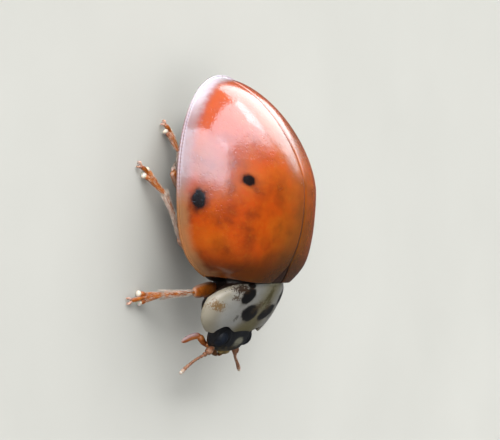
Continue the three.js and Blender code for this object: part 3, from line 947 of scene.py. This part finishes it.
def underside_paint():
    paint = Paint("underside", cuticle(0.15, 0.35))
    cloud = paint.noise(3, 4, 0.55)
    paint.spread(cloud, (0.3, "241006"), (0.5, "40200c"), (0.7, "5c3014"))
    paint.over("8a4e1c", (paint.outward, 1.1, 2.0), (paint.y, 1.5, 2.6), 0.8)
    paint.over("120c09", (paint.y, 2.1, 0.9), 0.8)
    height = paint.sum(paint.fade(paint.cells(14), 0.08, 0.35), paint.noise(4, 3))
    paint.surface(0.4, cloud, 0.2, height, 0.006)
    return paint.finish()


def capped(x, y, z):
    """A closed body from rings of points, flat at both ends."""
    rings = grid_of(x, y, z)
    return drum(rings, rings[0].mean(axis=0), rings[-1].mean(axis=0))


def plate_body(y, half, low, high, grooves=()):
    """A closed low body, grooved across underneath, from its width and heights at each y."""
    side, lift = rounded(circle(72), 0.8)
    middle = low * 0.4 + high * 0.6
    values = (y, middle - low, high - middle, middle, half)
    y, drop, rise, middle, half = (v[:, None] for v in values)
    z = middle + np.where(lift < 0, drop, rise) * lift
    for groove in grooves:
        z = z + GROOVE_DEPTH * hump(y - groove, GROOVE_REACH) * (lift < 0)
    return capped(half * side, y, z)


def collar_shape():
    """The neck: it fills the hollow from the pronotum to the wing cases."""
    y = np.linspace(*COLLAR, 20)[:, None]
    within = np.minimum(y, SHIELD_HIND_EDGE)
    angle = np.linspace(-RIGHT_ANGLE, RIGHT_ANGLE, 60)
    rise, over = rounded(angle, 2 / SHIELD_ROUNDNESS)
    edge = shield_edge(within)
    x = (shield_half_width(within) - 2 * COLLAR_INSET) * over
    z = edge + (shield_top(within) - edge - COLLAR_INSET) * rise
    depth, half = np.array(COLLAR_SIDES).T
    low = edge + (COLLAR_FOOT - edge) * depth
    half = np.broadcast_to(half, low.shape)
    x = np.concatenate([x, half, -half[:, ::-1]], axis=1)
    z = np.concatenate([z, low, low[:, ::-1]], axis=1)
    return capped(x, y, z)


def make_underside():
    material = underside_paint()

    def trunk(y, grooves):
        closing = np.clip((BODY_REAR - y) / 0.3, 0, 1) ** 0.5
        opening = 0.3 + 0.7 * np.clip((y - BODY_FRONT) / 0.7, 0, 1) ** 0.4
        half = np.maximum(0.02, (case_outline(y) - BODY_INSET) * closing * opening)
        away = np.abs(y - BELLY_PEAK) / (BODY_REAR - BELLY_PEAK)
        low = RIM - BELLY_DEPTH * np.maximum(0, 1 - away**BELLY_POWER) * opening
        return plate_body(y, half, low, case_rim_height(y) + 0.15, grooves)

    breast = trunk(np.linspace(BODY_FRONT, WAIST, 70), (CHEST_GROOVE,))
    dress(breast, "breast_plates", material, ["thorax"])
    dress(collar_shape(), "collar", material)
    rings = trunk(np.linspace(WAIST, BODY_REAR, 120), (WAIST, *BELLY_GROOVES))
    dress(rings, "belly_rings", material, ["abdomen"])
    share = np.linspace(-1, 1, 40)
    swelling = np.maximum(0.05, 1 - (share * 0.98) ** 4) ** 0.25
    y = STERNUM_MIDDLE + STERNUM_HALF_LENGTH * share
    low, high = RIM - STERNUM_DEPTH * swelling, np.full_like(y, RIM + STERNUM_TOP)
    front = plate_body(y, STERNUM_HALF_WIDTH * swelling, low, high)
    dress(front, "prosternum_plate", material, ["prosternum"])


# ---- Legs ----

# Socket in the body, hip, knee, ankle, place of the pads, tip of the claws.
LEG_JOINTS = {
    "fore": (
        (0.32, -0.52, 0.74), (0.6, -0.1, 1.0), (1.52, -0.23, 0.87),
        (2.45, -0.28, 0.43), (3.07, -0.36, 0.09), (3.66, -0.43, 0.03),
    ),
    "mid": (
        (0.5, 0.6, 0.66), (0.84, 0.74, 0.56), (1.8, 1.16, 0.6),
        (2.28, 2.26, 0.43), (2.7, 2.8, 0.09), (3.05, 3.02, 0.03),
    ),
    "hind": (
        (0.62, 1.86, 0.66), (1.0, 1.98, 0.54), (2.03, 2.84, 0.52),
        (1.4, 3.28, 0.44), (1.44, 3.86, 0.1), (1.64, 4.1, 0.03),
    ),
}
SHIN_HAIRS, FOOT_HAIRS = 460, 160
HAIR_LENGTH = 0.19
CLAW_LIFT = 0.008  # of the claws' tips above the floor
PATCH, MARGIN = 0.003, 0.01  # side of a hair's patch on its UV map, and the map's margin


def leg_shapes(socket, hip, knee, ankle, pad_place, tip):
    """The shapes of one leg: hip, thigh, shin, foot, pads, claws, and the limbs with a coat."""

    def across(start, end):
        return unit(np.cross(UP, end - start))

    line = (socket, (socket + hip) / 2, hip + (knee - hip) * 0.1)
    coxa = limb(line, ((0, 0.12), (0.3, 0.18), (0.7, 0.17), (1, 0.08)), UP)
    line = (hip, (hip + knee) / 2 + UP * 0.03, knee)
    thick = ((0, 0.12), (0.2, 0.17), (0.55, 0.18), (0.82, 0.16), (0.96, 0.12), (1, 0.06))
    thigh = limb(line, thick, across(hip, knee), 0.7)
    line = (knee + (knee - ankle) * 0.03, (knee + ankle) / 2 + UP * 0.04, ankle)
    thick = ((0, 0.035), (0.05, 0.065), (0.3, 0.068), (0.75, 0.095), (0.95, 0.11), (1, 0.06))
    shin = limb(line, thick, across(knee, ankle), 0.7, COAT_SIDES)
    ahead, out = pad_place - ankle, across(ankle, pad_place)
    last, turned = tip - pad_place, across(pad_place, tip)

    def before(way, *places):
        """Points from the pads' place: (along in lengths of the foot, to one side, up)."""
        return [pad_place + ahead * x + out * way * y + UP * z for x, y, z in places]

    def beyond(way, *places):
        """Points from the pads' place: (along in lengths of the last piece, to one side, up)."""
        return [pad_place + last * x + turned * way * y + UP * z for x, y, z in places]

    line = before(1, (-1.03, 0, 0.02), (-0.6, 0, 0), (-0.16, 0, 0.03))
    thick = ((0, 0.05), (0.2, 0.075), (0.65, 0.115), (0.92, 0.13), (1, 0.05))
    foot = limb(line, thick, out, 0.6, COAT_SIDES)
    coated = (shin, foot)
    line = before(1, (-0.2, 0, 0.08)) + beyond(1, (0, 0, 0.07), (0.45, 0, 0.07), (0.78, 0, 0.03))
    foot = foot + limb(line, ((0, 0.03), (0.25, 0.042), (0.8, 0.058), (1, 0.025)), turned)
    pads, claws = [], []
    for way in (-1, 1):
        lobe = before(way, (-0.3, 0.04, 0.03), (-0.14, 0.085, 0.02), (-0.02, 0.11, 0.02))
        foot += limb(lobe, ((0, 0.05), (0.4, 0.07), (0.8, 0.07), (1, 0.04)), out, 0.8)
        pad = before(way, (-0.09, 0.095, -0.02), (0.01, 0.11, -0.005), (0.1, 0.12, -0.01))
        pads.append(limb(pad, ((0, 0.04), (0.35, 0.082), (0.75, 0.08), (1, 0.02)), out, 0.9))
        # Each claw is a long point and a short tooth beneath it, and both come near the floor.
        places = ((0.74, 0.02, 0.035), (0.9, 0.06, 0.05), (0.97, 0.075, 0.03), (1, 0.07, 0))
        point = beyond(way, *places)
        point[-1][2] = CLAW_LIFT
        claws.append(limb(point, ((0, 0.032), (0.4, 0.034), (0.8, 0.02), (1, 0.005)), turned))
        tooth = beyond(way, (0.78, 0.03, 0.035), (0.86, 0.045, 0.025), (0.9, 0.045, 0))
        tooth[-1][2] = 0.012 + last[2] * 0.16
        claws.append(limb(tooth, ((0, 0.022), (0.5, 0.02), (1, 0.005)), turned))
    pads, claws = (sum(shapes[1:], shapes[0]) for shapes in (pads, claws))
    return (coxa, thigh, shin, foot, pads, claws), coated


def leg_paint(name, paleness):
    """Amber shell with pale edges, partly pale hair and partly a painted highlight, and pale at
    the far end of each piece.
    """
    paint = amber_paint(name, "743608", "a25610", "bc742a")
    along, across, _ = paint.marks
    # Pale along both edges: pale hair and a painted highlight.
    paint.over("baa094", (paint.math("ABSOLUTE", across), 1.1 - paleness, 0.95), paleness)
    paint.over("c9a284", (along, 0.85, 1.0), 0.5)
    return paint.finish()


def hair_paint():
    paint = Paint("hair", {"Roughness": 0.5})
    paint.spread(paint.noise(9, 2), (0.3, "a89484"), (0.7, "ddd3c8"))
    return paint.finish()


def make_legs():
    rng = np.random.default_rng(7)
    leg = leg_paint("leg", 0.5)
    labels = (
        ("hip", leg, ["coxa"]),
        ("thigh", leg, ["femur"]),
        ("shin", leg_paint("shin", 0.85), ["tibia"]),
        ("foot", leg_paint("foot", 0.2), ["tarsus"]),
        ("pads", plain_amber("pad", "b8aa94", "d6cdbd", "e8e2d6"), []),
        ("claws", plain_amber("claw", "9a6a52", "b88e7c", "d0b4a8"), []),
    )
    hair = hair_paint()
    for pair, joints in LEG_JOINTS.items():
        shapes, (shin, foot) = leg_shapes(*(np.array(joint, float) for joint in joints))
        coats = (
            ("shin", coat(shin, SHIN_HAIRS, HAIR_LENGTH, (0.15, 0.95), rng)),
            ("foot", coat(foot, FOOT_HAIRS, HAIR_LENGTH * 0.7, (0.3, 0.95), rng)),
        )
        for name, side in SIDES.items():
            for (label, material, nodes), shape in zip(labels, shapes):
                nodes = [f"{node}_{pair}_{name}" for node in nodes]
                dress(shape.on(side), f"{label}_{pair}_{name}", material, nodes)
            for label, hairs in coats:
                hairs = hairs.on(side)
                dress(hairs, f"{label}_hair_{pair}_{name}", hair, prepare=unwrap)


def unwrap(piece):
    """Each hair's own small patch, at its root's place on the unrolled limb."""
    layer = piece.data.uv_layers.new(name="OFBake")
    marks = piece.data.attributes["mark"].data
    for loop in piece.data.loops:
        along, around, _ = marks[loop.vertex_index].vector
        corner = loop.vertex_index % 4
        root = MARGIN + (1 - 2 * MARGIN) * np.array([along, around])
        layer.data[loop.index].uv = root + PATCH * np.array([corner % 2, corner // 2])


# ---- Floor and light ----


def make_floor():
    paint = Paint("floor", {"Roughness": 0.8, "Specular IOR Level": 0.2})
    paint.spread(paint.noise(0.15, 3), (0.3, "babab4"), (0.7, "bfbfb9"))
    reach = 6 * LIGHT_DISTANCE
    corners = [(-reach, -reach, 0), (reach, -reach, 0), (reach, reach, 0), (-reach, reach, 0)]
    floor = Shape(corners, [(0, 1, 2, 3)]).piece("floor", paint.finish())
    floor.visible_glossy = False  # a glossy shell shows the soft boxes and the dim room


# Soft boxes round the animal: degrees from the tail towards its left, degrees above the floor,
# degrees wide and high, brightness, and whether it is mirrored in the shell.
SOFT_BOXES = {
    "right_wall": (-58, 9, 48, 60, 6.8, True),
    "left_wall": (52, 12, 39, 36, 4.6, True),
    "over_tail": (4, 31, 70, 31, 5.8, True),
    "front_fill": (-140, 48, 60, 50, 1.1, False),
    "left_fill": (100, 22, 50, 40, 2.6, False),
}
LIGHT_DISTANCE = 1500


def make_lights():
    for name, (bearing, height, wide, high, brightness, mirrored) in SOFT_BOXES.items():
        bearing, height, wide, high = (math.radians(v) for v in (bearing, height, wide, high))
        level = math.cos(height)
        away = Vector((math.sin(bearing) * level, math.cos(bearing) * level, math.sin(height)))
        data = bpy.data.lights.new(name, "AREA")
        data.shape = "RECTANGLE"
        data.size = 2 * LIGHT_DISTANCE * math.tan(wide / 2) * MM
        data.size_y = 2 * LIGHT_DISTANCE * math.tan(high / 2) * MM
        data.energy = brightness * math.pi * data.size * data.size_y
        light = bpy.data.objects.new(name, data)
        light.visible_glossy = mirrored
        aim = Vector((ORIGIN + [0, TAIL / 2, RIM]) * MM)
        light.location = aim + away * LIGHT_DISTANCE * MM
        light.rotation_mode = "QUATERNION"
        light.rotation_quaternion = (-away).to_track_quat("-Z", "Y")
        bpy.context.scene.collection.objects.link(light)
    world = bpy.data.worlds.new("room")
    world.use_nodes = True
    sky = world.node_tree.nodes["Background"]
    sky.inputs["Color"].default_value = (0.8, 0.82, 0.84, 1)
    sky.inputs["Strength"].default_value = 0.1
    bpy.context.scene.world = world
    bpy.context.scene.view_settings.view_transform = "Standard"


make_wing_cases()
make_scutellum()
make_pronotum()
make_head()
make_underside()
make_legs()
make_floor()
make_lights()
